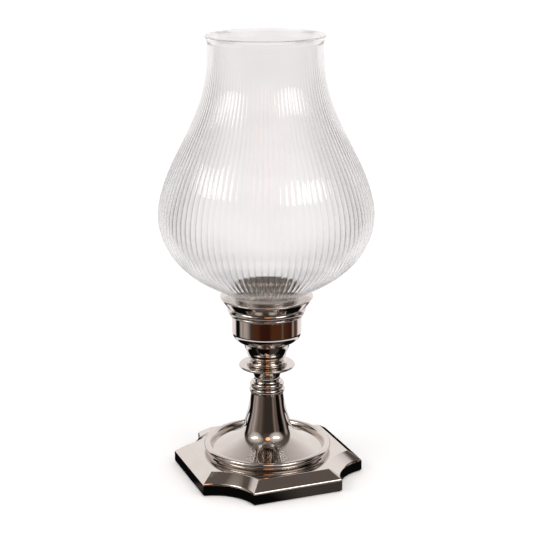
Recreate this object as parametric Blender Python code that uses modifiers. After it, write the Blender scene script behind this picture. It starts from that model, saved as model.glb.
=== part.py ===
"""Hurricane candle lantern: a nickel candle stand with a fluted, lift-off glass shade.

Every piece is a separate object, in metres, with +Z up and the object standing on z = 0 at the
origin. One of the base's four straight sides faces -Y. The stand is a stack of turned pieces that
a threaded rod clamps together, from a nut inside the hollow plinth to a nut inside the cup. The
candle holder and the glass shade only rest in place, so each has an empty on its lift axis.
"""

import math

import bmesh
import bpy
from mathutils import Matrix, Vector

# ---------------------------------------------------------------- driving dimensions (metres)
GAP = 0.0003                    # left between faces that touch
TURN_STEPS = 40                 # sides of a large turned piece
SMALL_TURN_STEPS = 28           # sides of a collar or a washer

# Plinth: a square with a concave scallop across each corner
BASE_HALF_WIDTH = 0.0964        # centre to a straight side
BASE_SIDE_HALF_LENGTH = 0.0527  # half of one straight side
SCALLOP_DEPTH = 0.0103          # how far a scallop curves in behind its chord
SCALLOP_STEPS = 8
SIDE_STEPS = 6                  # stretches that a straight side is divided into
FELT_HEIGHT = 0.0012
FELT_INSET = 0.0020
WALL_TOP = 0.0121               # top of the plinth's upright wall
PLINTH_TOP = 0.0237
MOULDING_WIDTH = 0.0136         # how far the sloping moulding runs in
MOULDING_SLOPE = 36.0           # degrees, before the moulding rounds over into the wall
MOULDING_STEPS = 5              # in that rounding
PLINTH_SKIN = 0.0045            # thickness of the cast metal

# Round foot and its stem
FOOT_RADIUS = 0.0712
RING_CENTRE = (0.0690, 0.0293)  # radius and height of the ring bead's centre
RING_RADIUS = 0.0040
STEM_TOP = 0.0931

# Heights of the joints between the stacked pieces
COLLAR_JOINT = 0.0998
COLLAR_TOP = 0.1065
DISC_BOTTOM = 0.1246
DISC_TOP = 0.1275
CONE_BOTTOM = 0.1323
CUP_BOTTOM = 0.1530
CUP_TOP = 0.1863
LEDGE_TOP = 0.1896
GALLERY_BOTTOM = 0.1972

# Cup, gallery and candle holder
DISC_RADIUS = 0.0319
CUP_RADIUS = 0.0396
WELL_RADIUS = 0.0364
CUP_CORNER_TOP = 0.1680         # height at which the cup's wall starts to round under
CUP_CORNER_WIDTH = 0.0120       # that rounding is a quarter of an ellipse
CUP_CORNER_DEPTH = 0.0130
CUP_FLOOR = 0.1580
BEAD_RADIUS = 0.0447
GALLERY_RADIUS = 0.0526
GALLERY_RIM_HEIGHT = 0.2073     # middle of the gallery's rounded rim
GALLERY_RIM_RADIUS = 0.0010
LOCATING_RING_RADIUS = 0.0370
LOCATING_RING_BORE = 0.0354
LOCATING_RING_TOP = 0.2150
HOLDER_FLOOR = 0.1765           # where the candle stands
HOLDER_WALL = 0.0014
HOLDER_CORNER = 0.0045          # rounding at the foot of the holder's wall
HOLDER_RIM_RADIUS = 0.0368
HOLDER_RIM_TOP = 0.2184
BOSS_RADIUS = 0.0062            # raised middle of the floor that the spike stands on
BOSS_HEIGHT = 0.0006
SPIKE_TIP = 0.1925
SPIKE_HOLE_RADIUS = 0.0022
RIVET_RADIUS = 0.0018

# Glass shade
SHADE_SEAT = 0.2095
SHADE_TOP = 0.5000
LIP_RADIUS = 0.0657
GLASS_THICKNESS = 0.0030
SHADE_STEPS = 48
# Outside of the glass from under the lip to the seat: (radius, height), joined by a smooth curve
SHADE_OUTLINE = [
    (0.0629, 0.4880), (0.0641, 0.4640), (0.0692, 0.4370), (0.0789, 0.4100), (0.0926, 0.3820),
    (0.1072, 0.3520), (0.1168, 0.3245), (0.1199, 0.3010), (0.1161, 0.2795), (0.1040, 0.2560),
    (0.0860, 0.2378), (0.0680, 0.2258), (0.0520, 0.2174), (0.0430, 0.2133), (0.0398, SHADE_SEAT),
]

# Threaded rod and its fasteners
ROD_RADIUS = 0.0049
ROD_BOTTOM = 0.0042
ROD_TOP = 0.1722
BORE_RADIUS = 0.0053            # hole for the rod in every piece that it passes through
NUT_ACROSS_FLATS = 0.0170
NUT_HEIGHT = 0.0080
LOCK_WASHER_RADIUS = 0.0088
LOCK_WASHER_HEIGHT = 0.0022
BASE_WASHER_RADIUS = 0.0220
CUP_WASHER_RADIUS = 0.0150
WASHER_HEIGHT = 0.0020

PART_COLLECTION = "hurricane_candle_lantern"
CUTTER_COLLECTION = "cutters"


# ---------------------------------------------------------------- materials
def principled(name, colour, roughness, metallic, transmission=0.0, ior=1.45):
    material = bpy.data.materials.new(name)
    material.use_nodes = True
    shader = material.node_tree.nodes["Principled BSDF"]
    shader.inputs["Base Color"].default_value = (*colour, 1.0)
    shader.inputs["Roughness"].default_value = roughness
    shader.inputs["Metallic"].default_value = metallic
    shader.inputs["Transmission Weight"].default_value = transmission
    shader.inputs["IOR"].default_value = ior
    material.diffuse_color = (*colour, 1.0)
    return material


def nickel(name):
    return principled(name, (0.72, 0.68, 0.65), 0.08, 1.0)


def steel(name):
    return principled(name, (0.55, 0.55, 0.56), 0.35, 1.0)


def felt(name):
    return principled(name, (0.015, 0.015, 0.016), 0.95, 0.0)


def clear_glass(name):
    return principled(name, (0.96, 0.97, 0.97), 0.02, 0.0, transmission=1.0, ior=1.5)


# ---------------------------------------------------------------- scene and object helpers
def clear_scene():
    for old in list(bpy.data.objects):
        bpy.data.objects.remove(old, do_unlink=True)


def add_object(name, data, material, collection=PART_COLLECTION):
    """One named object of a mesh or a curve, in a collection."""
    piece = bpy.data.objects.new(name, data)
    piece.data.materials.append(material)
    bpy.data.collections[collection].objects.link(piece)
    return piece


def add_mesh(name, bm, material, collection=PART_COLLECTION):
    """An object of a finished bmesh, shaded smooth with its edges kept sharp."""
    bmesh.ops.recalc_face_normals(bm, faces=bm.faces)
    mesh = bpy.data.meshes.new(name)
    bm.to_mesh(mesh)
    bm.free()
    mesh.shade_smooth()
    mesh.set_sharp_from_angle(angle=math.radians(35))
    return add_object(name, mesh, material, collection)


def prism(name, radius, bottom, height, sides, material, collection=PART_COLLECTION):
    """An upright prism or cylinder on the Z axis."""
    bm = bmesh.new()
    middle = Matrix.Translation((0.0, 0.0, bottom + height / 2))
    bmesh.ops.create_cone(bm, cap_ends=True, segments=sides, radius1=radius, radius2=radius, depth=height,
                          matrix=middle)
    return add_mesh(name, bm, material, collection)


# ---------------------------------------------------------------- outlines
def arc(centre, radius, start, end, steps, depth=None):
    """Points (radius, height) on an arc from angle start to end in degrees.

    It is part of a circle, or of an ellipse if its half-height, depth, is given.
    """
    points = []
    for step in range(steps + 1):
        angle = math.radians(start + (end - start) * step / steps)
        points.append((centre[0] + radius * math.cos(angle), centre[1] + (depth or radius) * math.sin(angle)))
    return points


def smooth_through(knots, steps):
    """A Catmull-Rom curve through the knots, with so many steps between each two."""
    points = []
    padded = [knots[0]] + list(knots) + [knots[-1]]
    for index in range(len(knots) - 1):
        before, start, end, after = (Vector(point) for point in padded[index:index + 4])
        for step in range(steps):
            t = step / steps
            point = 0.5 * (2 * start + (end - before) * t
                           + (2 * before - 5 * start + 4 * end - after) * t ** 2
                           + (3 * start - before - 3 * end + after) * t ** 3)
            points.append((point.x, point.y))
    points.append(tuple(knots[-1]))
    return points


def inset(points, distance):
    """The points moved sideways by distance, to the right of the way they run."""
    moved = []
    last = len(points) - 1
    for index, point in enumerate(points):
        before = Vector(points[max(index - 1, 0)])
        after = Vector(points[min(index + 1, last)])
        along = (after - before).normalized()
        moved.append((point[0] + along.y * distance, point[1] - along.x * distance))
    return moved


def scallop_circle():
    """Radius of a corner scallop, and how far out on the diagonal its centre lies."""
    corner = Vector((BASE_HALF_WIDTH, BASE_SIDE_HALF_LENGTH))
    half_chord = (BASE_HALF_WIDTH - BASE_SIDE_HALF_LENGTH) / math.sqrt(2)
    radius = (half_chord ** 2 + SCALLOP_DEPTH ** 2) / (2 * SCALLOP_DEPTH)
    chord_distance = (corner.x + corner.y) / math.sqrt(2)
    return radius, chord_distance - SCALLOP_DEPTH + radius


def base_outline(offset, height):
    """The plinth's outline moved in by offset: a ring of points with mitred corners, at a height."""
    radius, centre_distance = scallop_circle()
    radius += offset
    side = BASE_HALF_WIDTH - offset
    centre = Vector((centre_distance, centre_distance)) / math.sqrt(2)
    mitre = centre.y - math.sqrt(radius ** 2 - (centre.x - side) ** 2)
    start = math.atan2(mitre - centre.y, side - centre.x) % math.tau
    end = math.atan2(side - centre.x, mitre - centre.y) % math.tau
    corner = []
    for step in range(SCALLOP_STEPS + 1):
        angle = start + (end - start) * step / SCALLOP_STEPS
        corner.append(centre + radius * Vector((math.cos(angle), math.sin(angle))))
    for step in range(1, SIDE_STEPS):
        corner.append(Vector((mitre * (1 - 2 * step / SIDE_STEPS), side)))
    ring = []
    for quarter in range(4):
        turn = math.radians(90 * quarter)
        for point in corner:
            ring.append(Vector((point.x * math.cos(turn) - point.y * math.sin(turn),
                                point.x * math.sin(turn) + point.y * math.cos(turn), height)))
    return ring


def hole_ring(radius, height, like):
    """A round ring with one point in line with each point of another ring."""
    ring = []
    for point in like:
        angle = math.atan2(point.y, point.x)
        ring.append(Vector((radius * math.cos(angle), radius * math.sin(angle), height)))
    return ring


# ---------------------------------------------------------------- shape builders
def turned(name, profile, material, steps=TURN_STEPS):
    """A ring turned from a closed profile that runs down its outer side and up its inner side."""
    count = len(profile)
    return screwed(name, profile, [(i, (i + 1) % count) for i in range(count)], material, steps)


def turned_solid(name, profile, material, steps=SMALL_TURN_STEPS):
    """A solid turned from an open profile whose first and last points lie on the axis."""
    return screwed(name, profile, [(i, i + 1) for i in range(len(profile) - 1)], material, steps)


def screwed(name, profile, edges, material, steps):
    mesh = bpy.data.meshes.new(name)
    mesh.from_pydata([(radius, 0.0, height) for radius, height in profile], edges, [])
    piece = add_object(name, mesh, material)
    screw = piece.modifiers.new("turn", "SCREW")
    screw.axis = "Z"
    screw.angle = math.tau
    screw.steps = steps
    screw.render_steps = steps
    screw.use_merge_vertices = True
    screw.merge_threshold = 0.00001
    screw.use_smooth_shade = True
    return piece


def lofted_ring(name, rings, material):
    """Faces from each ring of points to the next, and from the last ring back to the first."""
    bm = bmesh.new()
    rows = [[bm.verts.new(point) for point in ring] for ring in rings]
    for lower, upper in zip(rows, rows[1:] + rows[:1]):
        for index in range(len(lower)):
            following = (index + 1) % len(lower)
            bm.faces.new((lower[index], lower[following], upper[following], upper[index]))
    return add_mesh(name, bm, material)


def washer(name, outer_radius, bottom, height):
    top = bottom + height
    profile = [(outer_radius, top), (outer_radius, bottom), (BORE_RADIUS, bottom), (BORE_RADIUS, top)]
    return turned(name, profile, steel(name + "_steel"), SMALL_TURN_STEPS)


def hex_nut(name, bottom):
    """A hexagon prism with a round bore cut through it."""
    metal = steel(name + "_steel")
    nut = prism(name, NUT_ACROSS_FLATS / math.sqrt(3), bottom, NUT_HEIGHT, 6, metal)
    cutter = prism(name + "_bore", BORE_RADIUS, bottom - NUT_HEIGHT, 3 * NUT_HEIGHT, SMALL_TURN_STEPS, metal,
                   CUTTER_COLLECTION)
    cutter.hide_render = True
    cutter.display_type = "WIRE"
    bore = nut.modifiers.new("bore", "BOOLEAN")
    bore.operation = "DIFFERENCE"
    bore.object = cutter
    return nut


# ---------------------------------------------------------------- base
def felt_pad():
    """The felt sheet under the plinth, cut to its outline."""
    outline = base_outline(FELT_INSET, 0.0)
    curve = bpy.data.curves.new("felt_pad", "CURVE")
    curve.dimensions = "2D"
    curve.fill_mode = "BOTH"
    curve.extrude = FELT_HEIGHT / 2
    spline = curve.splines.new("POLY")
    spline.points.add(len(outline) - 1)
    for target, point in zip(spline.points, outline):
        target.co = (point.x, point.y, 0.0, 1.0)
    spline.use_cyclic_u = True
    pad = add_object("felt_pad", curve, felt("felt"))
    pad.location.z = FELT_HEIGHT / 2
    return pad


def moulding_levels():
    """(offset, height) pairs down the plinth's moulding, from the flat top to the upright wall.

    The section is a straight slope that leaves the top in a sharp edge, then an arc into the wall.
    The arc's radius follows from the moulding's width, height and slope.
    """
    slope = math.radians(MOULDING_SLOPE)
    height = PLINTH_TOP - WALL_TOP
    radius = (height - MOULDING_WIDTH * math.tan(slope)) * math.cos(slope) / (1 - math.sin(slope))
    levels = [(MOULDING_WIDTH, PLINTH_TOP)]
    for step in range(MOULDING_STEPS + 1):
        angle = (math.pi / 2 - slope) * (1 - step / MOULDING_STEPS)
        levels.append((radius * (1 - math.cos(angle)), WALL_TOP + radius * math.sin(angle)))
    return levels


def base_plinth():
    """The hollow cast plinth, with a hole for the rod through its top."""
    bottom = FELT_HEIGHT + GAP
    rings = [base_outline(0.0, bottom)]
    rings += [base_outline(offset, height) for offset, height in reversed(moulding_levels())]
    like = rings[-1]
    ceiling = PLINTH_TOP - PLINTH_SKIN
    rings.append(hole_ring(BORE_RADIUS, PLINTH_TOP, like))
    rings.append(hole_ring(BORE_RADIUS, ceiling, like))
    rings.append(base_outline(MOULDING_WIDTH + PLINTH_SKIN, ceiling))
    rings.append(base_outline(PLINTH_SKIN, WALL_TOP - PLINTH_SKIN / 2))
    rings.append(base_outline(PLINTH_SKIN, bottom))
    return lofted_ring("base_plinth", rings, nickel("plinth_nickel"))


def base_fasteners():
    """Load washer, lock washer and nut that draw the rod down inside the plinth."""
    top = PLINTH_TOP - PLINTH_SKIN - GAP
    washer("base_load_washer", BASE_WASHER_RADIUS, top - WASHER_HEIGHT, WASHER_HEIGHT)
    top -= WASHER_HEIGHT + GAP
    washer("base_lock_washer", LOCK_WASHER_RADIUS, top - LOCK_WASHER_HEIGHT, LOCK_WASHER_HEIGHT)
    top -= LOCK_WASHER_HEIGHT + GAP
    hex_nut("base_nut", top - NUT_HEIGHT)


def tie_rod():
    return prism("tie_rod", ROD_RADIUS, ROD_BOTTOM, ROD_TOP - ROD_BOTTOM, SMALL_TURN_STEPS, steel("rod_steel"))


# ---------------------------------------------------------------- foot and stem
def stem_foot():
    """One hollow casting: ring bead, sloping dish and the trumpet that rises into the stem."""
    bottom = PLINTH_TOP + GAP
    trumpet = smooth_through([
        (0.0189, STEM_TOP), (0.0201, 0.0860), (0.0220, 0.0710), (0.0252, 0.0600), (0.0278, 0.0515),
        (0.0332, 0.0440), (0.0440, 0.0370), (0.0652, 0.0272)], 2)
    bead = arc(RING_CENTRE, RING_RADIUS, 180, -60, 10)
    foot = [(FOOT_RADIUS, bottom)]
    inside = [(0.0600, bottom), (0.0440, 0.0325), (0.0340, 0.0378), (0.0260, 0.0450), (0.0215, 0.0540),
              (0.0180, 0.0660), (0.0160, 0.0840), (BORE_RADIUS, 0.0860), (BORE_RADIUS, STEM_TOP)]
    return turned("stem_foot", trumpet + bead + foot + inside, nickel("stem_nickel"))


# ---------------------------------------------------------------- turned pieces of the stack
def bead_ring(name, outer_radius, bottom, top, root_radius, bore, steps):
    """A ring whose outer side is a half-round bead."""
    middle = (bottom + top) / 2
    depth = outer_radius - root_radius
    profile = []
    for step in range(7):
        angle = math.radians(90 - 180 * step / 6)
        profile.append((root_radius + depth * math.cos(angle), middle + (top - bottom) / 2 * math.sin(angle)))
    profile += [(bore, bottom), (bore, top)]
    return turned(name, profile, nickel(name + "_nickel"), steps)


def collars():
    bead_ring("collar_lower", 0.0202, STEM_TOP + GAP, COLLAR_JOINT, 0.0180, BORE_RADIUS, SMALL_TURN_STEPS)
    bead_ring("collar_upper", 0.0194, COLLAR_JOINT + GAP, COLLAR_TOP, 0.0166, BORE_RADIUS, SMALL_TURN_STEPS)


def neck_reel():
    """The short waisted neck between the collars and the disc."""
    side = smooth_through([
        (0.0188, DISC_BOTTOM - GAP), (0.0172, 0.1192), (0.0156, 0.1148), (0.0146, 0.1120),
        (0.0149, 0.1086), (0.0160, COLLAR_TOP + GAP)], 2)
    profile = side + [(BORE_RADIUS, COLLAR_TOP + GAP), (BORE_RADIUS, DISC_BOTTOM - GAP)]
    return turned("neck_reel", profile, nickel("neck_nickel"), SMALL_TURN_STEPS)


def neck_disc():
    """The wide thin disc, with a rounded rim."""
    half = (DISC_TOP - DISC_BOTTOM) / 2
    rim = arc((DISC_RADIUS - half, DISC_BOTTOM + half), half, 90, -90, 6)
    profile = rim + [(BORE_RADIUS, DISC_BOTTOM), (BORE_RADIUS, DISC_TOP)]
    return turned("neck_disc", profile, nickel("disc_nickel"))


def disc_ring():
    bead_ring("disc_ring", 0.0233, DISC_TOP + GAP, CONE_BOTTOM - GAP, 0.0218, BORE_RADIUS, SMALL_TURN_STEPS)


def cup_cone():
    """The solid flared support under the cup."""
    side = smooth_through([
        (0.0263, CUP_BOTTOM - GAP), (0.0250, 0.1477), (0.0224, 0.1412), (0.0210, 0.1366),
        (0.0185, CONE_BOTTOM)], 2)
    profile = side + [(BORE_RADIUS, CONE_BOTTOM), (BORE_RADIUS, CUP_BOTTOM - GAP)]
    return turned("cup_cone", profile, nickel("cone_nickel"), SMALL_TURN_STEPS)


def cup_body():
    """The round cup, an open shell that hides the top nut."""
    corner = (CUP_RADIUS - CUP_CORNER_WIDTH, CUP_CORNER_TOP)
    outside = [(CUP_RADIUS - 0.0006, CUP_TOP), (CUP_RADIUS, CUP_TOP - 0.0006)]
    outside += arc(corner, CUP_CORNER_WIDTH, 0, -80, 7, CUP_CORNER_DEPTH)
    outside += [(0.0272, CUP_BOTTOM)]
    inside = [(BORE_RADIUS, CUP_BOTTOM), (BORE_RADIUS, CUP_FLOOR)]
    inside += arc(corner, WELL_RADIUS - corner[0], -90, 0, 4, CUP_CORNER_TOP - CUP_FLOOR)
    inside += [(WELL_RADIUS, CUP_TOP)]
    return turned("cup_body", outside + inside, nickel("cup_nickel"))


def cup_rings():
    """The thin ledge ring on the cup and the bead ring above it."""
    bead_ring("cup_ledge_ring", 0.0426, CUP_TOP + GAP, LEDGE_TOP, 0.0412, WELL_RADIUS, TURN_STEPS)
    bead_ring("cup_bead_ring", BEAD_RADIUS, LEDGE_TOP + GAP, GALLERY_BOTTOM - GAP, 0.0414, WELL_RADIUS,
              TURN_STEPS)


def gallery():
    """The flared plate that carries the shade, with the upright ring that centres it."""
    outside = [(LOCATING_RING_BORE, LOCATING_RING_TOP), (LOCATING_RING_RADIUS, LOCATING_RING_TOP),
               (LOCATING_RING_RADIUS, 0.2095), (0.0385, 0.2092), (0.0515, 0.2083)]
    outside += arc((GALLERY_RADIUS - GALLERY_RIM_RADIUS, GALLERY_RIM_HEIGHT), GALLERY_RIM_RADIUS, 60, -60, 3)
    outside += [(0.0503, 0.2035), (0.0468, 0.1990), (0.0452, GALLERY_BOTTOM)]
    return turned("gallery", outside + [(LOCATING_RING_BORE, GALLERY_BOTTOM)], nickel("gallery_nickel"))


def cup_fasteners():
    """Washer, lock washer and nut on top of the rod, in the bottom of the cup."""
    bottom = CUP_FLOOR + GAP
    washer("cup_washer", CUP_WASHER_RADIUS, bottom, WASHER_HEIGHT)
    bottom += WASHER_HEIGHT + GAP
    washer("cup_lock_washer", LOCK_WASHER_RADIUS, bottom, LOCK_WASHER_HEIGHT)
    bottom += LOCK_WASHER_HEIGHT + GAP
    hex_nut("cup_nut", bottom)


# ---------------------------------------------------------------- pieces that lift off
def candle_holder():
    """A deep round holder that drops into the cup and hangs by its rim on the gallery's ring."""
    seat = LOCATING_RING_TOP + GAP
    outer_wall = LOCATING_RING_BORE - 2 * GAP
    inner_wall = outer_wall - HOLDER_WALL
    underside = HOLDER_FLOOR - HOLDER_WALL
    boss_top = HOLDER_FLOOR + BOSS_HEIGHT
    rim = [(inner_wall + 0.0010, HOLDER_RIM_TOP), (HOLDER_RIM_RADIUS - 0.0008, HOLDER_RIM_TOP),
           (HOLDER_RIM_RADIUS, HOLDER_RIM_TOP - 0.0008), (HOLDER_RIM_RADIUS, seat), (outer_wall, seat)]
    outside = arc((outer_wall - HOLDER_CORNER, underside + HOLDER_CORNER), HOLDER_CORNER, 0, -90, 4)
    boss = [(SPIKE_HOLE_RADIUS, underside), (SPIKE_HOLE_RADIUS, boss_top), (BOSS_RADIUS, boss_top),
            (BOSS_RADIUS, HOLDER_FLOOR)]
    corner = HOLDER_CORNER - HOLDER_WALL
    inside = arc((inner_wall - corner, HOLDER_FLOOR + corner), corner, -90, 0, 4)
    inside.append((inner_wall, HOLDER_RIM_TOP - 0.0010))
    return turned("candle_holder", rim + outside + boss + inside, nickel("holder_nickel"))


def candle_spike():
    """The pricket that holds the candle, riveted through the holder's floor."""
    foot = HOLDER_FLOOR + BOSS_HEIGHT + GAP
    underside = HOLDER_FLOOR - HOLDER_WALL - GAP
    spike = [(0.0, SPIKE_TIP), (0.0006, SPIKE_TIP - 0.0004), (0.0019, foot + 0.0030), (0.0045, foot + 0.0012),
             (0.0050, foot), (RIVET_RADIUS, foot)]
    rivet = [(RIVET_RADIUS, underside), (0.0038, underside), (0.0030, underside - 0.0013),
             (0.0, underside - 0.0016)]
    return turned_solid("candle_spike", spike + rivet, nickel("spike_nickel"), 16)


def glass_shade():
    """The blown glass shade: an onion-shaped bowl under an open chimney with a flared lip."""
    lip = [(LIP_RADIUS - 0.0012, SHADE_TOP), (LIP_RADIUS, SHADE_TOP - 0.0009), (0.0642, 0.4958)]
    bowl = smooth_through(SHADE_OUTLINE, 1)
    inside = inset(bowl, GLASS_THICKNESS)
    inside[-1] = (inside[-1][0], SHADE_SEAT)
    profile = lip + bowl + inside[::-1] + [(0.0612, 0.4952)]
    return turned("glass_shade", profile, clear_glass("shade_glass"), SHADE_STEPS)


def on_lift_axis(pieces, name, height):
    """Parents the pieces to an empty on the axis along which they lift off."""
    empty = bpy.data.objects.new(name, None)
    empty.location = (0.0, 0.0, height)
    bpy.data.collections[PART_COLLECTION].objects.link(empty)
    for piece in pieces:
        piece.parent = empty
        piece.location = (0.0, 0.0, -height)


def main():
    clear_scene()
    for name in (PART_COLLECTION, CUTTER_COLLECTION):
        bpy.context.scene.collection.children.link(bpy.data.collections.new(name))
    felt_pad()
    base_plinth()
    base_fasteners()
    tie_rod()
    stem_foot()
    collars()
    neck_reel()
    neck_disc()
    disc_ring()
    cup_cone()
    cup_body()
    cup_fasteners()
    cup_rings()
    gallery()
    on_lift_axis([candle_holder(), candle_spike()], "candle_holder_lift_axis", HOLDER_FLOOR)
    on_lift_axis([glass_shade()], "shade_lift_axis", SHADE_SEAT)


main()
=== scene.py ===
"""Looks for the hurricane candle lantern: fine turned metal, fluted glass, camera and light.

Every visible CAD piece gets a smooth, high-resolution mesh of the same shape, built round the
lantern's upright axis, and a procedural material. Sizes are in metres. Heights and radii come from
the CAD nodes' boxes where one fits, and from the named values below where a profile needs more.
"""

import math

import bmesh
import bpy
from mathutils import Matrix, Vector


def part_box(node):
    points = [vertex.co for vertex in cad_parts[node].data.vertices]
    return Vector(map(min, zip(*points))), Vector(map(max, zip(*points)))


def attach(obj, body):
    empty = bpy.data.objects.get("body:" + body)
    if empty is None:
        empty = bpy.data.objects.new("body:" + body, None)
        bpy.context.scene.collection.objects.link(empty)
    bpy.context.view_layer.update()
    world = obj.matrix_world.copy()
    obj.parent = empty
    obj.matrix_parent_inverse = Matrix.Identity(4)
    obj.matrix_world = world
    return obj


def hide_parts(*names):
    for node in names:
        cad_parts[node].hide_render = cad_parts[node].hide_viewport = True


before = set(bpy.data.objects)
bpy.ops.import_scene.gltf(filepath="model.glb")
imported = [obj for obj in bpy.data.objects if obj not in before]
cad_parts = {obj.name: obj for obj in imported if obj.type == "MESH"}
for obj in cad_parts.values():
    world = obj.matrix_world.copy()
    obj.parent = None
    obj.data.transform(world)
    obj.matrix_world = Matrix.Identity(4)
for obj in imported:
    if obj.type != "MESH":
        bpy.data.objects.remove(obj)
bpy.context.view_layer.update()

# ---------------------------------------------------------------- driving values
METAL_STEPS = 192               # sides of a turned metal piece
EDGE = 0.00035                  # radius of a softened metal edge
EDGE_STEPS = 4
BORE = 0.0053                   # hole for the tie rod
CUP_BORE = 0.0364               # hollow of the cup and of the two rings over it

BASE_SIDE_HALF_LENGTH = 0.0527  # half of one straight side of the plinth
SCALLOP_DEPTH = 0.0103          # how far a scallop curves in behind its chord
SCALLOP_STEPS = 28
SIDE_STEPS = 16
MOULDING_WIDTH = 0.0136
MOULDING_SLOPE = 36.0           # degrees, before the moulding rounds over into the wall
WALL_TOP = 0.0121
WALL_CURVE_STEPS = 14
PLINTH_SKIN = 0.0045
PLINTH_EDGE = 0.0005            # width of its softened edges
PLINTH_EDGE_ANGLE = 28.0        # degrees; edges that turn by more are softened
HIDDEN_RING_RADIUS = 0.0705     # a ring of points on the top, just inside the foot's edge

# The bowl of the glass from its throat down to its seat: (radius, height)
SHADE_OUTLINE = [
    (0.0629, 0.4880), (0.0641, 0.4640), (0.0692, 0.4370), (0.0789, 0.4100), (0.0926, 0.3820),
    (0.1072, 0.3520), (0.1168, 0.3245), (0.1199, 0.3010), (0.1161, 0.2795), (0.1040, 0.2560),
    (0.0860, 0.2378), (0.0680, 0.2258), (0.0520, 0.2174), (0.0430, 0.2133), (0.0398, 0.2095),
]
GLASS_THICKNESS = 0.0030
GLASS_SHARP_ANGLE = 80.0        # degrees; edges that turn by more are shaded sharp
FLUTES = 100                    # upright flutes round the glass
STEPS_PER_FLUTE = 8
FLUTE_DEPTH = 0.0005
FLUTE_TOP = 0.4850              # the flutes start here, below the smooth collar
FLUTE_START_LENGTH = 0.020      # length over which their shallow start grows
FLUTE_START_SHARE = 0.2         # share of their full depth that this start has
FLUTE_FULL = 0.3900             # they reach their full depth here
FOOT_TOP = 0.2550               # below here, in the narrow foot, they deepen again
FOOT_BLEND = 0.020              # height over which they do so
FOOT_FLUTE_GAIN = 0.5           # share of their depth that is added there
SEAT_BLEND = 0.006              # height above the seat over which they fade out
LOBE_POWER = 0.8                # below 1: broad flutes and narrow grooves
LIP_FILM_START = 0.4965         # height at which the lip starts to turn into a clear film
LIP_FILM_FULL = 0.4985          # height at which it has done so
LIP_CLEARNESS = 0.75            # how much of the thin lip is drawn as a clear film
MIRRORED_CLEARNESS = 0.85       # and of the whole glass, as the polished metal mirrors it

CAMERA_AZIMUTH = -20.91         # degrees round the lantern; 0 looks along +Y
CAMERA_ELEVATION = 15.63
CAMERA_DISTANCE = 1.60626
CAMERA_AIM_HEIGHT = 0.24167
CAMERA_LENS = 96.8
CAMERA_SENSOR = 36.0
CAMERA_ROLL = -0.27

LAMP_AIM_HEIGHT = 0.20
SOFT_BOX_AZIMUTHS = (-64.0, 45.0)   # degrees from the camera's side
SOFT_BOX_WIDTH = 0.36
SOFT_BOX_TALL = 0.14
SOFT_BOX_POWER = 0.7
SOFT_BOX_DISTANCE = 0.60        # from the lantern's axis
SOFT_BOX_HEIGHT = 0.61
SOFT_BOX_COLOUR = (1.0, 0.98, 0.96)
SOFT_BOX_GLOW = (0.95, 0.88, 0.82)  # the surroundings round a soft box, as metal mirrors them
SOFT_BOX_GLOW_ELEVATION = 44.0
SOFT_BOX_GLOW_RADIUS = math.radians(30)
SOFT_BOX_GLOW_CORE = 0.995      # the glow is full within this cosine of its middle
WARM_LAMP_WIDTH = 0.20
WARM_LAMP_LENGTH = 0.30
WARM_LAMP_POWER = 0.26
WARM_LAMP_COLOUR = (1.0, 0.42, 0.16)
WARM_LAMP_AZIMUTH = 3.0         # degrees from the camera's side
WARM_LAMP_ELEVATION = 52.0
WARM_LAMP_DISTANCE = 0.75
WARM_LAMP_CENTRE_HEIGHT = 0.05  # of the point on the axis that its place is reckoned from
BACKGROUND_LIGHT = 1.22
ROOM_LIGHT_IN_GLASS = 0.6       # share of the white surroundings in reflections inside the glass
BACKDROP_TILT = math.radians(15)    # the backdrop's middle, above the horizon behind the lantern
BACKDROP_RADIUS = math.radians(60)  # half the angle that it covers
BACKDROP_BLEND = 0.04               # half the width of its soft edge, as a cosine
FLOOR_HALF_SIZE = 6.0
TABLE_CARD_RADIUS = 0.42
TABLE_CARD_HEIGHT = -0.0005     # just under the floor

NICKEL_DARK = (0.63, 0.585, 0.55)
NICKEL_PALE = (0.70, 0.66, 0.625)
FILM_COLOUR = (0.90, 0.87, 0.84, 1.0)   # dry wax and soot on the candle holder
# Painted shade in the grooves between the glass's flutes
PAINTED_GROOVE_SHADE = (0.08, 0.08, 0.085, 1.0)
CLEAR_FILM_COLOUR = (0.97, 0.97, 0.97, 1.0)
FLOOR_COLOUR = (0.85, 0.85, 0.85, 1.0)

# Colours that the metal mirrors
WHITE = (1.06, 1.01, 1.00)
BACKDROP_TOP = (0.53, 0.48, 0.45)
CEILING_LOW = (0.075, 0.058, 0.05)
CEILING_MIDDLE = (0.12, 0.098, 0.085)
CEILING_TOP = (0.15, 0.125, 0.11)
GREY = (0.52, 0.46, 0.43)
STONE = (0.31, 0.26, 0.23)
UMBER = (0.16, 0.12, 0.10)
BROWN = (0.045, 0.034, 0.028)
RUST = (0.092, 0.030, 0.014)
DARK_RUST = (0.040, 0.012, 0.007)
COAL = (0.060, 0.052, 0.047)
BLACK = (0.004, 0.004, 0.004)


# ---------------------------------------------------------------- outlines
def arc(centre, radius, start, end, steps, depth=None):
    """Points (radius, height) on an arc from angle start to end in degrees.

    It is part of a circle, or of an ellipse if its half-height, depth, is given.
    """
    points = []
    for step in range(steps + 1):
        angle = math.radians(start + (end - start) * step / steps)
        across = radius * math.cos(angle)
        up = (depth or radius) * math.sin(angle)
        points.append((centre[0] + across, centre[1] + up))
    return points


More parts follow.
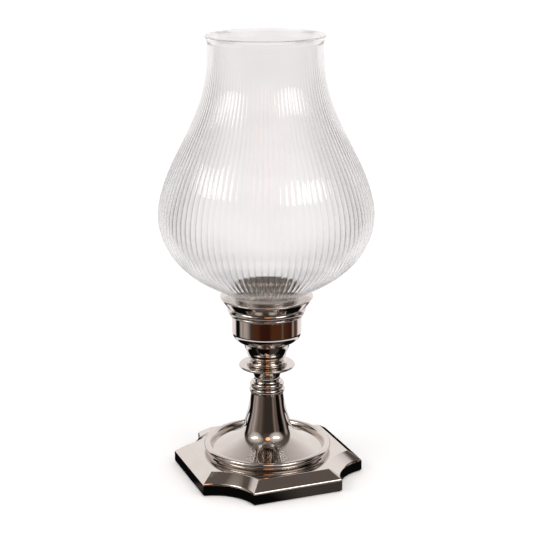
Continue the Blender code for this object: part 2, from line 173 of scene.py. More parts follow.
def smooth_through(knots, steps):
    """A Catmull-Rom curve through the knots, with so many steps between each two."""
    points = []
    padded = [knots[0]] + list(knots) + [knots[-1]]
    for index in range(len(knots) - 1):
        before, start, end, after = (Vector(point) for point in padded[index:index + 4])
        for step in range(steps):
            share = step / steps
            point = 0.5 * (2 * start + (end - before) * share
                           + (2 * before - 5 * start + 4 * end - after) * share ** 2
                           + (3 * start - before - 3 * end + after) * share ** 3)
            points.append((point.x, point.y))
    points.append(tuple(knots[-1]))
    return points


def softened(profile, corners, radius=EDGE):
    """The closed profile with the corners at these indexes rounded off."""
    made = []
    for index, point in enumerate(profile):
        corner = Vector(point)
        if index not in corners:
            made.append(tuple(corner))
            continue
        to_before = Vector(profile[index - 1]) - corner
        to_after = Vector(profile[(index + 1) % len(profile)]) - corner
        reach = min(radius, 0.4 * to_before.length, 0.4 * to_after.length)
        start = corner + to_before.normalized() * reach
        end = corner + to_after.normalized() * reach
        for step in range(EDGE_STEPS + 1):
            share = step / EDGE_STEPS
            rest = 1 - share
            made.append(tuple(rest ** 2 * start + 2 * share * rest * corner + share ** 2 * end))
    return made


def inset(points, distance):
    """The points moved sideways by distance, to the right of the way they run."""
    moved = []
    last = len(points) - 1
    for index, point in enumerate(points):
        before = Vector(points[max(index - 1, 0)])
        after = Vector(points[min(index + 1, last)])
        along = (after - before).normalized()
        moved.append((point[0] + along.y * distance, point[1] - along.x * distance))
    return moved


# ---------------------------------------------------------------- shape builders
def add_piece(name, mesh, material, slot, body, *nodes):
    """A finished mesh as a piece that rides on a body and stands for CAD nodes."""
    piece = bpy.data.objects.new(name, mesh)
    bpy.context.scene.collection.objects.link(piece)
    mesh.materials.append(material)
    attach(piece, body)
    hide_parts(*nodes)
    return piece


def plain_row(builder, radius, height, steps):
    """One row of points round the Z axis."""
    row = []
    for step in range(steps):
        angle = math.tau * step / steps
        row.append(builder.verts.new((radius * math.cos(angle), radius * math.sin(angle), height)))
    return row


def bridged(name, builder, rows, sharp_angle=50.0):
    """A mesh with faces from each row of points to the next, and from the last row to the first.

    Edges that turn by more than sharp_angle, in degrees, are shaded sharp.
    """
    for lower, upper in zip(rows, rows[1:] + rows[:1]):
        for index in range(len(lower)):
            following = (index + 1) % len(lower)
            builder.faces.new((lower[index], lower[following], upper[following], upper[index]))
    bmesh.ops.recalc_face_normals(builder, faces=builder.faces)
    mesh = bpy.data.meshes.new(name)
    builder.to_mesh(mesh)
    builder.free()
    mesh.shade_smooth()
    mesh.set_sharp_from_angle(angle=math.radians(sharp_angle))
    return mesh


def metal_ring(node, profile, material, body="stand"):
    """A closed profile turned round the Z axis: a nickel piece in place of one CAD node."""
    builder = bmesh.new()
    rows = [plain_row(builder, radius, height, METAL_STEPS) for radius, height in profile]
    mesh = bridged(node + "_fine", builder, rows)
    piece = add_piece(node + "_fine", mesh, material, "polished_nickel", body, node)
    weighted = piece.modifiers.new("even_normals", "WEIGHTED_NORMAL")
    weighted.keep_sharp = True


# ---------------------------------------------------------------- materials
class Tree:
    """A few short calls for building a node tree."""

    def __init__(self, tree):
        self.tree = tree
        tree.nodes.clear()

    def node(self, kind, **inputs):
        """A new node. An input is given by its name, or as the letter i and its number."""
        made = self.tree.nodes.new(kind)
        for key, value in inputs.items():
            self.put(made, key, value)
        return made

    def put(self, node, key, value):
        """Sets one input of a node to a value, or links it to another node's output."""
        by_number = key[0] == "i" and key[1:].isdigit()
        socket = node.inputs[int(key[1:]) if by_number else key.replace("_", " ")]
        if isinstance(value, bpy.types.NodeSocket):
            self.tree.links.new(value, socket)
        else:
            socket.default_value = value

    def math(self, operation, first, second=0.0, third=0.0):
        """The output of a Math node."""
        made = self.node("ShaderNodeMath", i0=first, i1=second, i2=third)
        made.operation = operation
        return made.outputs[0]

    def ramp(self, factor, stops):
        """A colour ramp. Its stops are (position, colour)."""
        made = self.node("ShaderNodeValToRGB", i0=factor)
        while len(made.color_ramp.elements) < len(stops):
            made.color_ramp.elements.new(0.5)
        for element, (position, colour) in zip(made.color_ramp.elements, stops):
            element.position = position
            element.color = (*colour, 1.0)
        return made.outputs[0]

    def levels(self, factor, stops):
        """A ramp of plain numbers. Its stops are (position, number)."""
        return self.ramp(factor, [(position, (level,) * 3) for position, level in stops])

    def mix(self, factor, first, second):
        """One colour or the other, or a mix of both."""
        made = self.node("ShaderNodeMix")
        made.data_type = "RGBA"
        self.put(made, "i0", factor)
        self.put(made, "i6", first)
        self.put(made, "i7", second)
        return made.outputs[2]


def polished_nickel(name, film):
    """Warm nickel plate: a mirror with faint buffing lines, hazy patches and a little tarnish.

    The film, 0 to 1, is how far a dry film of wax and soot has dulled it.
    """
    material = bpy.data.materials.new(name)
    material.use_nodes = True
    tree = Tree(material.node_tree)
    place = tree.node("ShaderNodeTexCoord").outputs["Object"]
    haze = tree.node("ShaderNodeTexNoise", Vector=place, Scale=22.0, Detail=5.0, Roughness=0.6)
    lines = tree.node("ShaderNodeMapping", Vector=place, Scale=(1.0, 1.0, 60.0))
    buffing = tree.node("ShaderNodeTexNoise", Vector=lines.outputs[0], Scale=60.0, Detail=3.0)
    tone = tree.ramp(haze.outputs[0], [(0.3, NICKEL_DARK), (0.7, NICKEL_PALE)])
    tone = tree.mix(0.8 * film, tone, FILM_COLOUR)
    rough = tree.levels(haze.outputs[0], [(0.35, 0.035 + 0.4 * film), (0.75, 0.075 + 0.5 * film)])
    bump = tree.node("ShaderNodeBump", Strength=0.006, Distance=0.0002, Height=buffing.outputs[0])
    shader = tree.node("ShaderNodeBsdfPrincipled", Base_Color=tone, Metallic=1.0 - 0.6 * film,
                       Roughness=rough, Normal=bump.outputs[0])
    tree.node("ShaderNodeOutputMaterial", Surface=shader.outputs[0])
    return material


def zinc_steel():
    """Zinc-plated steel with a slight crystal pattern."""
    material = bpy.data.materials.new("zinc_steel")
    material.use_nodes = True
    tree = Tree(material.node_tree)
    place = tree.node("ShaderNodeTexCoord").outputs["Object"]
    flecks = tree.node("ShaderNodeTexVoronoi", Vector=place, Scale=900.0)
    tone = tree.ramp(flecks.outputs["Color"], [(0.0, (0.45, 0.46, 0.48)), (1.0, (0.60, 0.60, 0.61))])
    rough = tree.levels(flecks.outputs["Distance"], [(0.0, 0.30), (1.0, 0.45)])
    shader = tree.node("ShaderNodeBsdfPrincipled", Base_Color=tone, Metallic=1.0, Roughness=rough)
    tree.node("ShaderNodeOutputMaterial", Surface=shader.outputs[0])
    return material


def black_felt():
    """Black felt: matted fibres with a soft sheen."""
    material = bpy.data.materials.new("black_felt")
    material.use_nodes = True
    tree = Tree(material.node_tree)
    place = tree.node("ShaderNodeTexCoord").outputs["Object"]
    fibres = tree.node("ShaderNodeTexNoise", Vector=place, Scale=1500.0, Detail=6.0, Distortion=1.5)
    tone = tree.ramp(fibres.outputs[0], [(0.3, (0.006, 0.006, 0.007)), (0.8, (0.035, 0.034, 0.034))])
    bump = tree.node("ShaderNodeBump", Strength=0.8, Distance=0.0004, Height=fibres.outputs[0])
    shader = tree.node("ShaderNodeBsdfPrincipled", Base_Color=tone, Roughness=0.95,
                       Normal=bump.outputs[0])
    shader.inputs["Sheen Weight"].default_value = 0.3
    tree.node("ShaderNodeOutputMaterial", Surface=shader.outputs[0])
    return material


def clear_glass():
    """Clear soda glass with a faint, uneven grey tint, and painted shade in the flutes' grooves.

    The painted shade is strongest part-way out towards the glass's edge and changes with height; it
    stands in for the dark lines that refraction through the flutes shows. The thin lip, and the
    glass as the metal mirrors it, are mostly a clear film that bends no light.
    """
    material = bpy.data.materials.new("clear_glass")
    material.use_nodes = True
    tree = Tree(material.node_tree)
    place = tree.node("ShaderNodeTexCoord").outputs["Object"]
    parts = tree.node("ShaderNodeSeparateXYZ", i0=place).outputs
    waves = tree.node("ShaderNodeTexNoise", Vector=place, Scale=35.0, Detail=2.0)
    tint = tree.ramp(waves.outputs[0], [(0.3, (0.965, 0.963, 0.964)), (0.7, (0.985, 0.983, 0.984))])
    # Painted shade: the grooves between the flutes are darkened, most part-way out towards the glass's
    # edge and by an amount that changes with height, in place of the dark lines that refraction through
    # the flutes shows.
    around_axis = tree.math("ARCTAN2", parts["Y"], parts["X"])
    wave = tree.math("ABSOLUTE", tree.math("COSINE", tree.math("MULTIPLY", around_axis, FLUTES / 2)))
    groove = tree.levels(wave, [(0.22, 1), (0.62, 0)])
    edgeways = tree.node("ShaderNodeLayerWeight", Blend=0.5).outputs["Facing"]
    painted_shade_strength = tree.levels(edgeways, [
        (0.08, 0.01), (0.18, 0.06), (0.28, 0.55), (0.36, 0.90), (0.56, 0.80), (0.66, 0.30), (0.80, 0.05)])
    fluted = tree.levels(parts["Z"], [(0.23, 1), (0.27, 0.45), (0.30, 1), (0.40, 0.7), (FLUTE_TOP, 0)])
    shade = tree.math("MULTIPLY", tree.math("MULTIPLY", groove, painted_shade_strength), fluted)
    colour = tree.mix(shade, tint, PAINTED_GROOVE_SHADE)
    shader = tree.node("ShaderNodeBsdfPrincipled", Base_Color=colour, Roughness=0.0, IOR=1.5)
    shader.inputs["Transmission Weight"].default_value = 1.0
    clear = tree.node("ShaderNodeBsdfTransparent", Color=CLEAR_FILM_COLOUR)
    lip = tree.levels(parts["Z"], [(LIP_FILM_START, 0), (LIP_FILM_FULL, LIP_CLEARNESS)])
    path = tree.node("ShaderNodeLightPath").outputs
    outside = tree.math("LESS_THAN", path["Transmission Depth"], 0.5)
    mirrored = tree.math("MULTIPLY", path["Is Glossy Ray"], outside)
    plain = tree.math("MAXIMUM", lip, tree.math("MULTIPLY", mirrored, MIRRORED_CLEARNESS))
    blend = tree.node("ShaderNodeMixShader", i0=plain, i1=shader.outputs[0], i2=clear.outputs[0])
    tree.node("ShaderNodeOutputMaterial", Surface=blend.outputs[0])
    return material


# ---------------------------------------------------------------- base
def base_outline(half_width, offset, height):
    """The plinth's outline moved in by offset: a ring of points with mitred corners."""
    half_chord = (half_width - BASE_SIDE_HALF_LENGTH) / math.sqrt(2)
    radius = (half_chord ** 2 + SCALLOP_DEPTH ** 2) / (2 * SCALLOP_DEPTH)
    centre_distance = (half_width + BASE_SIDE_HALF_LENGTH) / math.sqrt(2) - SCALLOP_DEPTH + radius
    radius += offset
    side = half_width - offset
    centre = Vector((centre_distance, centre_distance)) / math.sqrt(2)
    mitre = centre.y - math.sqrt(radius ** 2 - (centre.x - side) ** 2)
    start = math.atan2(mitre - centre.y, side - centre.x) % math.tau
    end = math.atan2(side - centre.x, mitre - centre.y) % math.tau
    corner = []
    for step in range(SCALLOP_STEPS + 1):
        angle = start + (end - start) * step / SCALLOP_STEPS
        corner.append(centre + radius * Vector((math.cos(angle), math.sin(angle))))
    for step in range(1, SIDE_STEPS):
        corner.append(Vector((mitre * (1 - 2 * step / SIDE_STEPS), side)))
    ring = []
    for quarter in range(4):
        turn = Matrix.Rotation(math.radians(90 * quarter), 2)
        ring += [(turn @ point).to_3d() + Vector((0.0, 0.0, height)) for point in corner]
    return ring


def plinth(material):
    """The cast plinth: an upright wall, a moulding that rounds into it, a flat top, hollow below."""
    low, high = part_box("base_plinth")
    half = high.x
    slope = math.radians(MOULDING_SLOPE)
    drop = high.z - WALL_TOP - MOULDING_WIDTH * math.tan(slope)
    radius = drop * math.cos(slope) / (1 - math.sin(slope))
    levels = [(0.0, low.z)]
    for step in range(WALL_CURVE_STEPS + 1):
        angle = (math.pi / 2 - slope) * step / WALL_CURVE_STEPS
        levels.append((radius * (1 - math.cos(angle)), WALL_TOP + radius * math.sin(angle)))
    levels.append((MOULDING_WIDTH, high.z))
    rings = [base_outline(half, offset, height) for offset, height in levels]
    rings += inner_rings(rings[-1], high.z)
    ceiling = high.z - PLINTH_SKIN
    rings += inner_rings(rings[-1], ceiling)[::-1]
    rings.append(base_outline(half, MOULDING_WIDTH + PLINTH_SKIN, ceiling))
    rings.append(base_outline(half, PLINTH_SKIN, WALL_TOP - PLINTH_SKIN / 2))
    rings.append(base_outline(half, PLINTH_SKIN, low.z))
    builder = bmesh.new()
    rows = [[builder.verts.new(point) for point in ring] for ring in rings]
    mesh = bridged("base_plinth_fine", builder, rows, PLINTH_EDGE_ANGLE)
    piece = add_piece("base_plinth_fine", mesh, material, "polished_nickel", "stand", "base_plinth")
    bevel = piece.modifiers.new("soft_edges", "BEVEL")
    bevel.width = PLINTH_EDGE
    bevel.segments = 3
    bevel.limit_method = "ANGLE"
    bevel.angle_limit = math.radians(PLINTH_EDGE_ANGLE)
    bevel.harden_normals = True


def inner_rings(outline, height):
    """Two round rings inside an outline: one under the foot's edge, one at the rod's bore."""
    rings = []
    for radius in (HIDDEN_RING_RADIUS, BORE):
        ring = []
        for point in outline:
            angle = math.atan2(point.y, point.x)
            ring.append(Vector((radius * math.cos(angle), radius * math.sin(angle), height)))
        rings.append(ring)
    return rings


# ---------------------------------------------------------------- turned stand
def stem_foot(material):
    """Stem, trumpet, sloping dish and ring bead."""
    low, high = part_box("stem_foot")
    trumpet = smooth_through([
        (0.0186, high.z), (0.0196, 0.0860), (0.0220, 0.0710), (0.0252, 0.0600), (0.0278, 0.0515),
        (0.0332, 0.0440), (0.0440, 0.0370), (0.0652, 0.0272)], 9)
    bead_centre = (0.0690, 0.0293)
    bead_radius = 0.0040
    bead = arc(bead_centre, bead_radius, 180, -60, 28)
    underside = [(0.0712, low.z), (0.0600, low.z)]
    inside = [(0.0440, 0.0325), (0.0340, 0.0378), (0.0260, 0.0450), (0.0215, 0.0540), (0.0180, 0.0660),
              (0.0160, 0.0840), (BORE, 0.0860), (BORE, high.z)]
    profile = trumpet + bead + underside + inside
    metal_ring("stem_foot", softened(profile, {0}), material)


def bead_piece(node, root_radius, bore, material):
    """A ring whose outer side is a half-round bead."""
    low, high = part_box(node)
    middle = (low.z + high.z) / 2
    half = (high.z - low.z) / 2
    depth = high.x - root_radius
    steps = 20
    profile = []
    for step in range(steps + 1):
        angle = math.radians(90 - 180 * step / steps)
        profile.append((root_radius + depth * math.cos(angle), middle + half * math.sin(angle)))
    profile += [(bore, low.z), (bore, high.z)]
    metal_ring(node, profile, material)


def neck_reel(material):
    """The waisted neck above the collars."""
    low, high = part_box("neck_reel")
    side = smooth_through([
        (0.0188, high.z), (0.0172, 0.1192), (0.0156, 0.1148), (0.0146, 0.1120), (0.0149, 0.1086),
        (0.0160, low.z)], 7)
    metal_ring("neck_reel", side + [(BORE, low.z), (BORE, high.z)], material)


def neck_disc(material):
    """The wide thin disc with a round rim."""
    low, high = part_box("neck_disc")
    half = (high.z - low.z) / 2
    rim = arc((high.x - half, low.z + half), half, 90, -90, 14)
    support = high.x - half - 0.0012
    profile = [(support, high.z)] + rim + [(support, low.z), (BORE, low.z), (BORE, high.z)]
    metal_ring("neck_disc", profile, material)


def cup_cone(material):
    """The flared support under the cup."""
    low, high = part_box("cup_cone")
    side = smooth_through([
        (0.0263, high.z), (0.0250, 0.1477), (0.0224, 0.1412), (0.0210, 0.1366), (0.0185, low.z)], 8)
    metal_ring("cup_cone", side + [(BORE, low.z), (BORE, high.z)], material)


def cup_body(material):
    """The round cup with its rounded lower edge, hollow for the nut and the candle holder."""
    low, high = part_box("cup_body")
    wall = high.x
    floor = 0.1580
    corner_radius = 0.0120
    corner_depth = 0.0130
    foot_radius = 0.0272
    corner = (wall - corner_radius, 0.1680)
    outside = [(wall, high.z)]
    outside += arc(corner, corner_radius, 0, -80, 24, corner_depth)
    outside += [(foot_radius, low.z)]
    inside = [(BORE, low.z), (BORE, floor)]
    inside += arc(corner, CUP_BORE - corner[0], -90, 0, 8, corner[1] - floor)
    inside += [(CUP_BORE, high.z)]
    metal_ring("cup_body", softened(outside + inside, {0}, 0.0006), material)


def gallery(material):
    """The flared plate under the glass, with the upright ring that centres it."""
    low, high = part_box("gallery")
    ring_radius = 0.0370
    ring_bore = 0.0354
    rim = 0.0010
    rim_height = 0.2073
    outside = [(ring_bore, high.z), (ring_radius, high.z), (ring_radius, 0.2095), (0.0385, 0.2092),
               (0.0500, 0.20838), (0.0515, 0.2083)]
    outside += arc((high.x - rim, rim_height), rim, 60, -60, 10)
    outside += smooth_through([(0.0503, 0.2035), (0.0468, 0.1990), (0.0452, low.z)], 5)
    metal_ring("gallery", softened(outside + [(ring_bore, low.z)], {0, 1}), material)


def candle_holder(material):
    """The deep round holder that hangs in the cup."""
    low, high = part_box("candle_holder")
    wall = 0.0014
    outer_wall = 0.0348
    inner_wall = outer_wall - wall
    floor = low.z + wall
    corner = 0.0045
    boss_top = floor + 0.0006
    rim = [(inner_wall + 0.0010, high.z), (high.x - 0.0008, high.z), (high.x, high.z - 0.0008),
           (high.x, 0.2153), (outer_wall, 0.2153)]
    outside = arc((outer_wall - corner, low.z + corner), corner, 0, -90, 10)
    boss = [(0.0022, low.z), (0.0022, boss_top), (0.0062, boss_top), (0.0062, floor)]
    inside = arc((inner_wall - corner + wall, floor + corner - wall), corner - wall, -90, 0, 10)
    inside.append((inner_wall, high.z - 0.0010))
    profile = softened(rim + outside + boss + inside, {0, 1, 2, 3})
    metal_ring("candle_holder", profile, material, "candle_holder")


def candle_spike(material):
    """The pricket, with its rivet through the holder's floor."""
    low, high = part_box("candle_spike")
    foot = 0.1774
    underside = 0.1748
    tiny = 0.00002
    spike = [(tiny, high.z), (0.0006, high.z - 0.0004), (0.0019, foot + 0.0030), (0.0045, foot + 0.0012),
             (0.0050, foot), (0.0018, foot)]
    rivet = [(0.0018, underside), (0.0038, underside), (0.0030, low.z + 0.0003), (tiny, low.z)]
    metal_ring("candle_spike", spike + rivet, material, "candle_holder")


# ---------------------------------------------------------------- glass
def glass_shade(material):
    """The fluted shade: convex flutes outside, smooth inside, and a rounded, flared lip."""
    low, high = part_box("glass_shade")
    top = high.z
    crest = (0.0637, top)
    throat = (0.0629, top - 0.0085)
    lip = smooth_through([crest, (0.0650, top - 0.0003), (0.0657, top - 0.0012),
                          (0.0652, top - 0.0026), (0.0640, top - 0.0048), throat], 4)
    bowl = smooth_through([throat] + SHADE_OUTLINE, 5)
    inside = inset(bowl, GLASS_THICKNESS)
    inside[-1] = (inside[-1][0], low.z)
    collar = smooth_through([inside[0], (0.0612, top - 0.0045), (0.0624, top - 0.0012), crest], 4)
    steps = FLUTES * STEPS_PER_FLUTE
    builder = bmesh.new()
    rows = []
    outside = lip[:-1] + bowl
    for radius, height in outside:
        rows.append(flute_row(builder, radius, height, low.z, steps))
    for radius, height in inside[::-1] + collar[1:-1]:
        rows.append(plain_row(builder, radius, height, steps))
    mesh = bridged("glass_shade_fluted", builder, rows, GLASS_SHARP_ANGLE)
    add_piece("glass_shade_fluted", mesh, material, "clear_glass", "shade", "glass_shade")


def flute_row(builder, radius, height, seat, steps):
    """One row of points round the outside of the glass, pulled in between the flutes."""
    start = smooth_step((FLUTE_TOP - height) / FLUTE_START_LENGTH)
    growth = smooth_step((FLUTE_TOP - height) / (FLUTE_TOP - FLUTE_FULL))
    share = FLUTE_START_SHARE * start + (1 - FLUTE_START_SHARE) * growth
    foot = 1 + FOOT_FLUTE_GAIN * smooth_step((FOOT_TOP - height) / FOOT_BLEND)
    depth = FLUTE_DEPTH * share * foot * smooth_step((height - seat) / SEAT_BLEND)
    row = []
    for step in range(steps):
        angle = math.tau * step / steps
        lobe = abs(math.cos(FLUTES * angle / 2)) ** LOBE_POWER
        reach = radius - depth * (1 - lobe)
        row.append(builder.verts.new((reach * math.cos(angle), reach * math.sin(angle), height)))
    return row


def smooth_step(share):
    """A share from 0 to 1 with a soft start and end. Values outside that are held at 0 or 1."""
    share = min(max(share, 0.0), 1.0)
    return share * share * (3 - 2 * share)


# ---------------------------------------------------------------- hidden and plain pieces
def repaint(nodes, material):
    """Gives CAD nodes that keep their own mesh a finished material."""
    for node in nodes:
        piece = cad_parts[node]
        piece.data.materials.clear()
        piece.data.materials.append(material)


# ---------------------------------------------------------------- camera, floor and light
def around(azimuth, elevation, distance, height):
    """A point at this distance from the axis at this height, in a direction given in degrees.

    The azimuth is counted from the camera's side.
    """
    turn = math.radians(CAMERA_AZIMUTH + azimuth)
    rise = math.radians(elevation)
    towards = Vector((math.sin(turn) * math.cos(rise), -math.cos(turn) * math.cos(rise), math.sin(rise)))
    return towards * distance + Vector((0.0, 0.0, height))


def add_camera():
    """The photograph's camera."""
    data = bpy.data.cameras.new("camera")
    data.lens = CAMERA_LENS
    data.sensor_width = CAMERA_SENSOR
    camera = bpy.data.objects.new("camera", data)
    bpy.context.scene.collection.objects.link(camera)
    back = around(0.0, CAMERA_ELEVATION, 1.0, 0.0)
    camera.location = Vector((0.0, 0.0, CAMERA_AIM_HEIGHT)) + back * CAMERA_DISTANCE
    look = (-back).to_track_quat("-Z", "Y")
    roll = Matrix.Rotation(math.radians(CAMERA_ROLL), 3, "Z").to_quaternion()
    camera.rotation_mode = "QUATERNION"
    camera.rotation_quaternion = look @ roll
    bpy.context.scene.camera = camera


def add_floor():
    """A matt white floor."""
    builder = bmesh.new()
    bmesh.ops.create_grid(builder, x_segments=1, y_segments=1, size=FLOOR_HALF_SIZE)
    mesh = bpy.data.meshes.new("floor")
    builder.to_mesh(mesh)
    builder.free()
    floor = bpy.data.objects.new("floor", mesh)
    bpy.context.scene.collection.objects.link(floor)
    material = bpy.data.materials.new("floor_white")
    material.use_nodes = True
    shader = material.node_tree.nodes["Principled BSDF"]
    shader.inputs["Base Color"].default_value = FLOOR_COLOUR
    shader.inputs["Roughness"].default_value = 1.0
    shader.inputs["Specular IOR Level"].default_value = 0.0
    mesh.materials.append(material)
    floor.visible_glossy = False
    floor.visible_transmission = False


def add_lamp(name, width, tall, power, colour, place):
    """A flat oval lamp that faces the lantern. The camera doesn't see it, directly or through glass."""
    data = bpy.data.lights.new(name, "AREA")
    data.shape = "ELLIPSE"
    data.size = width
    data.size_y = tall
    data.energy = power
    data.color = colour
    lamp = bpy.data.objects.new(name, data)
    bpy.context.scene.collection.objects.link(lamp)
    lamp.location = place
    aim = Vector((0.0, 0.0, LAMP_AIM_HEIGHT)) - place
    lamp.rotation_euler = aim.to_track_quat("-Z", "Y").to_euler()
    lamp.visible_camera = False
    lamp.visible_transmission = False


def azimuth_of(tree, vector):
    """The vector turned so that -Y is the camera's side, and its azimuth: 0.5 there, 0 or 1 behind."""
    turned = tree.node("ShaderNodeVectorRotate", Vector=vector)
    turned.rotation_type = "Z_AXIS"
    turned.inputs["Angle"].default_value = math.radians(-CAMERA_AZIMUTH)
    parts = tree.node("ShaderNodeSeparateXYZ", i0=turned.outputs[0])
    towards = tree.math("MULTIPLY", parts.outputs["Y"], -1.0)
    angle = tree.math("ARCTAN2", parts.outputs["X"], towards)
    return turned.outputs[0], tree.math("MULTIPLY_ADD", angle, 1 / math.tau, 0.5)


def azimuth_ramp(tree, azimuth, stops):
    """A ramp whose stops are (degrees from the camera's side, colour)."""
    return tree.ramp(azimuth, [(0.5 + degrees / 360, colour) for degrees, colour in stops])


def add_table_card():
    """A table top that only reflections see: dark round the plinth, with a pale band further out."""
    builder = bmesh.new()
    bmesh.ops.create_circle(builder, cap_ends=True, segments=64, radius=TABLE_CARD_RADIUS)
    mesh = bpy.data.meshes.new("table_card")
    builder.to_mesh(mesh)
    builder.free()
    card = bpy.data.objects.new("table_card", mesh)
    card.location.z = TABLE_CARD_HEIGHT
    bpy.context.scene.collection.objects.link(card)
    material = bpy.data.materials.new("table_card")
    material.use_nodes = True
    tree = Tree(material.node_tree)
    place = tree.node("ShaderNodeTexCoord").outputs["Object"]
    azimuth = azimuth_of(tree, place)[1]
    reach = tree.node("ShaderNodeVectorMath", i0=place)
    reach.operation = "LENGTH"
    near = azimuth_ramp(tree, azimuth, [
        (-64, BLACK), (-56, COAL), (-44, BLACK), (8, BLACK), (26, COAL), (62, COAL), (72, BLACK)])
    from_middle = tree.math("DIVIDE", reach.outputs["Value"], TABLE_CARD_RADIUS)
    band = tree.levels(from_middle, [(0.52, 0), (0.58, 1), (0.70, 1), (0.78, 0)])
    glow = tree.node("ShaderNodeEmission", Color=tree.mix(band, near, (*WHITE, 1.0)), Strength=1.0)
    tree.node("ShaderNodeOutputMaterial", Surface=glow.outputs[0])
    mesh.materials.append(material)
    card.visible_camera = False
    card.visible_diffuse = False
    card.visible_transmission = False
    card.visible_shadow = False


def reflected_room(tree, direction):
    """What polished metal mirrors: a dark room with lit strips round it, and a pale backdrop."""
    turned, azimuth = azimuth_of(tree, direction)
    height = tree.node("ShaderNodeSeparateXYZ", i0=direction).outputs["Z"]
    ceiling = tree.ramp(height, [
        (0.0, BROWN), (0.45, CEILING_LOW), (0.80, CEILING_MIDDLE), (1.0, CEILING_TOP)])
    strips = azimuth_ramp(tree, azimuth, [
        (-160, WHITE), (-146, BLACK), (-103, BLACK), (-94, GREY), (-86, STONE), (-70, GREY),
        (-62, STONE), (-48, UMBER), (-34, UMBER), (-22, COAL), (-10, BROWN), (28, BROWN), (34, UMBER),
        (39, STONE), (44, UMBER), (56, UMBER), (62, BLACK), (84, BLACK), (90, UMBER), (97, GREY),
        (106, UMBER), (113, BLACK), (146, BLACK), (160, WHITE)])
    floor = azimuth_ramp(tree, azimuth, [
        (-128, WHITE), (-119, BLACK), (-102, BLACK), (-96, GREY), (-90, GREY), (-86, STONE),
        (-81, GREY), (-70, GREY), (-62, STONE), (-54, COAL), (-42, RUST), (-30, RUST), (-18, DARK_RUST),
        (8, DARK_RUST), (16, RUST), (48, RUST), (53, UMBER), (58, RUST), (88, DARK_RUST),
        (92, UMBER), (96, GREY), (101, UMBER), (106, RUST), (118, UMBER), (126, WHITE)])
    room = tree.mix(tree.levels(height, [(0.28, 1), (0.55, 0)]), ceiling, strips)
    from_floor = tree.levels(tree.math("MULTIPLY_ADD", height, 0.5, 0.5), [(0.375, 1), (0.395, 0)])
    room = tree.mix(from_floor, room, floor)
    for side in SOFT_BOX_AZIMUTHS:
        near_lamp = facing(tree, direction, around(side, SOFT_BOX_GLOW_ELEVATION, 1.0, 0.0))
        glow = tree.levels(near_lamp, [(math.cos(SOFT_BOX_GLOW_RADIUS), 0), (SOFT_BOX_GLOW_CORE, 1)])
        room = tree.mix(glow, room, (*SOFT_BOX_GLOW, 1.0))
    backdrop = facing(tree, turned, (0.0, math.cos(BACKDROP_TILT), math.sin(BACKDROP_TILT)))
    edge = math.cos(BACKDROP_RADIUS)
    backdrop_share = tree.levels(backdrop, [(edge - BACKDROP_BLEND, 0), (edge + BACKDROP_BLEND, 1)])
    backdrop_colour = tree.ramp(height, [(0.50, WHITE), (0.90, BACKDROP_TOP)])
    return tree.mix(backdrop_share, room, backdrop_colour)


def facing(tree, direction, target):
    """Cosine of the angle between a direction and a target direction."""
    product = tree.node("ShaderNodeVectorMath", i0=direction, i1=target)
    product.operation = "DOT_PRODUCT"
    return product.outputs["Value"]


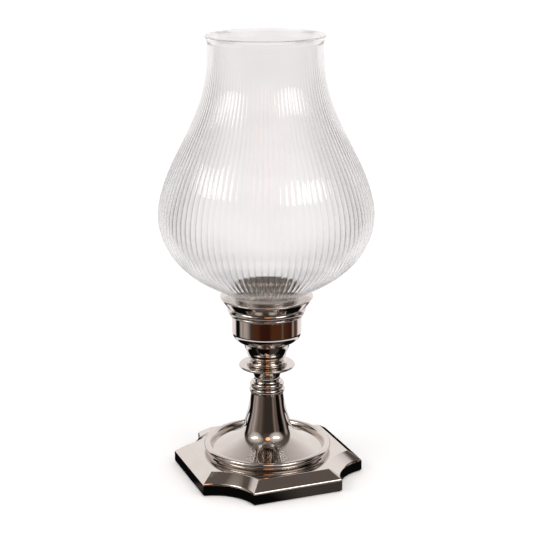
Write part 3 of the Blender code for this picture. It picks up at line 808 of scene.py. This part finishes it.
def add_world():
    """White to the camera and the floor, pale greys through glass, and the room to reflections."""
    world = bpy.data.worlds.new("studio")
    bpy.context.scene.world = world
    world.use_nodes = True
    tree = Tree(world.node_tree)
    direction = tree.node("ShaderNodeTexCoord").outputs["Generated"]
    height = tree.node("ShaderNodeSeparateXYZ", i0=direction).outputs["Z"]
    through = tree.ramp(tree.math("MULTIPLY_ADD", height, 0.5, 0.5), [
        (0.0, (0.95, 0.95, 0.95)), (0.30, (1.06, 1.05, 1.055)), (0.37, (1.0, 0.99, 0.995)),
        (0.40, (0.95, 0.94, 0.945)), (0.435, (0.82, 0.81, 0.815)), (0.60, (0.80, 0.79, 0.795))])
    path = tree.node("ShaderNodeLightPath").outputs
    plain = (BACKGROUND_LIGHT, BACKGROUND_LIGHT, BACKGROUND_LIGHT, 1.0)
    colour = tree.mix(path["Is Transmission Ray"], plain, through)
    in_glass = tree.math("GREATER_THAN", path["Transmission Depth"], 1.5)
    white_share = tree.math("MULTIPLY", in_glass, ROOM_LIGHT_IN_GLASS)
    reflected = tree.mix(white_share, reflected_room(tree, direction), through)
    colour = tree.mix(path["Is Glossy Ray"], colour, reflected)
    background = tree.node("ShaderNodeBackground", Color=colour, Strength=1.0)
    tree.node("ShaderNodeOutputWorld", Surface=background.outputs[0])


# ---------------------------------------------------------------- build
def main():
    """Builds the pieces, the camera, the floor and the light."""
    nickel = polished_nickel("polished_nickel", 0.0)
    dull_nickel = polished_nickel("dull_nickel", 0.45)
    words = ("washer", "nut", "tie_rod")
    hardware = [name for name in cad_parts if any(word in name for word in words)]
    repaint(hardware, zinc_steel())
    repaint(["felt_pad"], black_felt())
    plinth(nickel)
    stem_foot(nickel)
    bead_piece("collar_lower", 0.0180, BORE, nickel)
    bead_piece("collar_upper", 0.0166, BORE, nickel)
    neck_reel(nickel)
    neck_disc(nickel)
    bead_piece("disc_ring", 0.0218, BORE, nickel)
    cup_cone(nickel)
    cup_body(nickel)
    bead_piece("cup_ledge_ring", 0.0412, CUP_BORE, nickel)
    bead_piece("cup_bead_ring", 0.0414, CUP_BORE, nickel)
    gallery(nickel)
    candle_holder(dull_nickel)
    candle_spike(dull_nickel)
    glass_shade(clear_glass())
    add_camera()
    add_floor()
    add_table_card()
    for side, azimuth in zip(("left", "right"), SOFT_BOX_AZIMUTHS):
        place = around(azimuth, 0.0, SOFT_BOX_DISTANCE, SOFT_BOX_HEIGHT)
        name = "soft_box_" + side
        add_lamp(name, SOFT_BOX_WIDTH, SOFT_BOX_TALL, SOFT_BOX_POWER, SOFT_BOX_COLOUR, place)
    place = around(WARM_LAMP_AZIMUTH, WARM_LAMP_ELEVATION, WARM_LAMP_DISTANCE, WARM_LAMP_CENTRE_HEIGHT)
    add_lamp("warm_lamp", WARM_LAMP_WIDTH, WARM_LAMP_LENGTH, WARM_LAMP_POWER, WARM_LAMP_COLOUR, place)
    add_world()
    scene = bpy.context.scene
    scene.view_settings.view_transform = "Standard"
    scene.cycles.max_bounces = 24
    scene.cycles.transmission_bounces = 16
    scene.cycles.glossy_bounces = 12


main()
